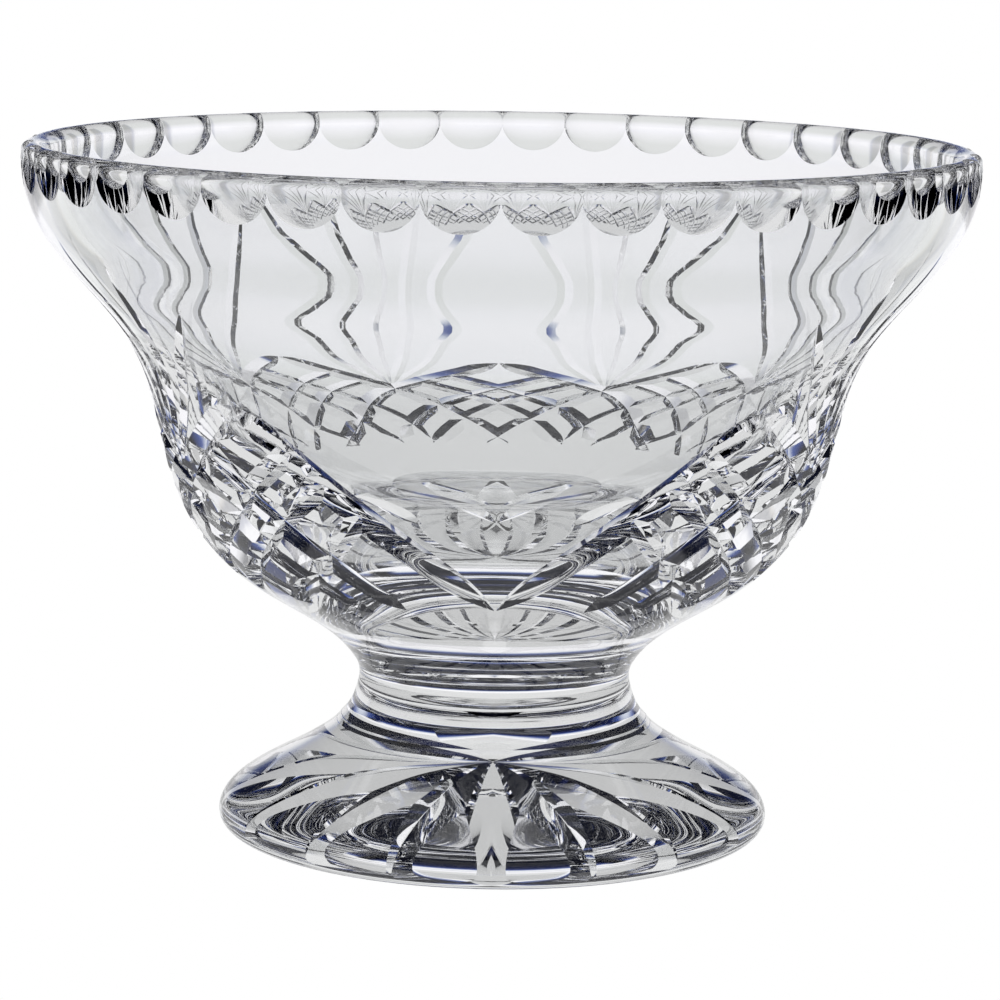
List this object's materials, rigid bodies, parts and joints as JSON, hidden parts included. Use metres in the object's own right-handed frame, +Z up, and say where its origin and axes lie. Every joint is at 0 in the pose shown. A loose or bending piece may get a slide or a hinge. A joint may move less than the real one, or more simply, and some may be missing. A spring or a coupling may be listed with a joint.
{
  "type": "punch bowl",
  "caption": "Footed punch bowl of thick clear cut crystal: flaring bowl with a scalloped rim, short waisted stem and domed foot with a star cut underneath.",
  "frame": {"origin": "centre of the foot's resting face, at the bottom of the object", "axes": "+Z up along the axis of revolution; the uncut front panel faces -Y; +X is to the right of someone facing that panel"},
  "size_m": [0.2532, 0.254, 0.1847],
  "materials": {
    "crystal": "polished clear lead crystal, slightly cool grey"
  },
  "bodies": {
    "root": {"bowl": "crystal", "stem": "crystal", "foot": "crystal"}
  },
  "joints": []
}
